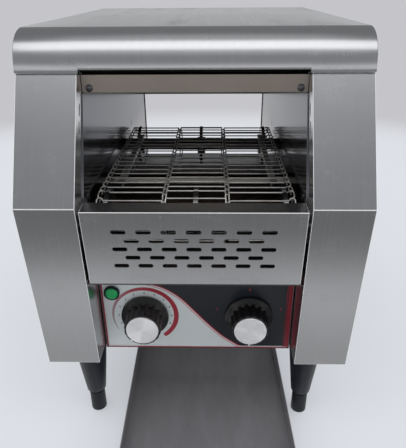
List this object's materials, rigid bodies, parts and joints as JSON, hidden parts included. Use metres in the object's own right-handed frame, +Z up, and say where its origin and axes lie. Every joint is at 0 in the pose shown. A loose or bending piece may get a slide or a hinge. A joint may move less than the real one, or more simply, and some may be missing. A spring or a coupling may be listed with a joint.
{
  "type": "conveyor toaster",
  "caption": "Countertop conveyor toaster: wire belt through a heated tunnel, return chute to a loose front tray, dial controls, tapered legs with adjustable feet.",
  "frame": {"origin": "on the table, in the middle of the width and of the length from the tray's front rim to the cable gland's end", "axes": "+X to the toaster's right seen from the front, +Y to its back (longest), +Z up"},
  "size_m": [0.288, 0.568, 0.387],
  "materials": {
    "stainless": "brushed, fine horizontal or vertical grain",
    "tunnel_steel": "satin",
    "plain_steel": "rolled sheet, dull",
    "reflector": "bright, heat tinted",
    "quartz": "milky",
    "ceramic": "unglazed white",
    "wire": "drawn wire, heat dulled",
    "machined_steel": "turned",
    "bronze": "sintered bush",
    "chain_steel": "oiled",
    "motor_paint": "satin black",
    "black_plastic": "matt moulded",
    "knob_plastic": "satin moulded",
    "spun_aluminium": "turned face with fine rings",
    "overlay": "printed plate, silver and black with a red line",
    "panel_steel": "satin dark",
    "lens": "ribbed green lens",
    "tray_coat": "satin dark grey non-stick coat",
    "screw_steel": "bright"
  },
  "bodies": {
    "root": {"hood": "stainless", "left_side_panel": "stainless", "right_side_panel": "stainless", "front_guard": "stainless", "rear_panel": "stainless", "left_inner_wall": "tunnel_steel", "right_inner_wall": "tunnel_steel", "front_fascia": "tunnel_steel", "ceiling_plate": "plain_steel", "column_floor_plates": "plain_steel", "control_box_back": "plain_steel", "deck_plate": "plain_steel", "return_chute": "tunnel_steel", "control_panel": "panel_steel", "panel_overlay": "overlay", "upper_reflector": "reflector", "lower_reflector": "reflector", "upper_heater_tubes": "quartz", "lower_heater_tube": "quartz", "heater_end_caps": "ceramic", "wire_belt": "wire", "belt_rails": "plain_steel", "cross_bars": "plain_steel", "shaft_bushes": "bronze", "drive_chain": "chain_steel", "gear_motor": "motor_paint", "motor_bracket": "plain_steel", "fan_frame": "black_plastic", "speed_control": "black_plastic", "selector_switch": "black_plastic", "panel_nuts": "screw_steel", "lamp_bezel": "black_plastic", "lamp_lens": "lens", "lamp_body": "black_plastic", "legs": "black_plastic", "cable_gland": "black_plastic", "terminal_block": "black_plastic", "rear_panel_screws": "screw_steel", "tunnel_screws": "screw_steel"},
    "front_drive": {"front_shaft": "machined_steel", "front_belt_sprockets": "machined_steel", "shaft_sprocket": "chain_steel"},
    "rear_idler": {"rear_shaft": "machined_steel", "rear_belt_sprockets": "machined_steel"},
    "motor_output": {"motor_shaft": "machined_steel", "motor_sprocket": "chain_steel"},
    "fan": {"fan_rotor": "black_plastic"},
    "speed_dial": {"speed_knob": "knob_plastic", "speed_knob_cap": "spun_aluminium", "speed_spindle": "machined_steel"},
    "selector_dial": {"selector_knob": "knob_plastic", "selector_knob_cap": "spun_aluminium", "selector_spindle": "machined_steel"},
    "tray": {"toast_tray": "tray_coat"},
    "foot_front_left": {"foot_front_left": "black_plastic"},
    "foot_front_right": {"foot_front_right": "black_plastic"},
    "foot_rear_left": {"foot_rear_left": "black_plastic"},
    "foot_rear_right": {"foot_rear_right": "black_plastic"}
  },
  "joints": [
    {"name": "front_shaft_turn", "type": "hinge", "parent": "root", "child": "front_drive", "pos_m": [0, -0.089, 0.226], "axis": [-1, 0, 0], "continuous": true, "deforming": ["wire_belt", "drive_chain"]},
    {"name": "rear_shaft_turn", "type": "hinge", "parent": "root", "child": "rear_idler", "pos_m": [0, 0.1261, 0.226], "axis": [-1, 0, 0], "continuous": true},
    {"name": "motor_turn", "type": "hinge", "parent": "root", "child": "motor_output", "pos_m": [0.128, -0.0504, 0.13929], "axis": [-1, 0, 0], "continuous": true},
    {"name": "fan_turn", "type": "hinge", "parent": "root", "child": "fan", "pos_m": [-0.125, 0.06, 0.15], "axis": [1, 0, 0], "continuous": true},
    {"name": "speed_dial_turn", "type": "hinge", "parent": "root", "child": "speed_dial", "pos_m": [-0.051, -0.1087, 0.126], "axis": [0, 1, 0], "range_deg": [0, 270]},
    {"name": "selector_dial_turn", "type": "hinge", "parent": "root", "child": "selector_dial", "pos_m": [0.051, -0.1087, 0.126], "axis": [0, 1, 0], "range_deg": [0, 270]},
    {"name": "tray_slide", "type": "slide", "parent": "root", "child": "tray", "axis": [0.0192, -0.9998, 0], "range_m": [-0.1, 0.2]},
    {"name": "foot_front_left_height", "type": "slide", "parent": "root", "child": "foot_front_left", "axis": [0, 0, -1], "range_m": [0, 0.012]},
    {"name": "foot_front_right_height", "type": "slide", "parent": "root", "child": "foot_front_right", "axis": [0, 0, -1], "range_m": [0, 0.012]},
    {"name": "foot_rear_left_height", "type": "slide", "parent": "root", "child": "foot_rear_left", "axis": [0, 0, -1], "range_m": [0, 0.012]},
    {"name": "foot_rear_right_height", "type": "slide", "parent": "root", "child": "foot_rear_right", "axis": [0, 0, -1], "range_m": [0, 0.012]}
  ],
  "couplings": [
    {"joint": "rear_shaft_turn", "follows": "front_shaft_turn", "ratio": 1},
    {"joint": "motor_turn", "follows": "front_shaft_turn", "ratio": 1.6667}
  ]
}
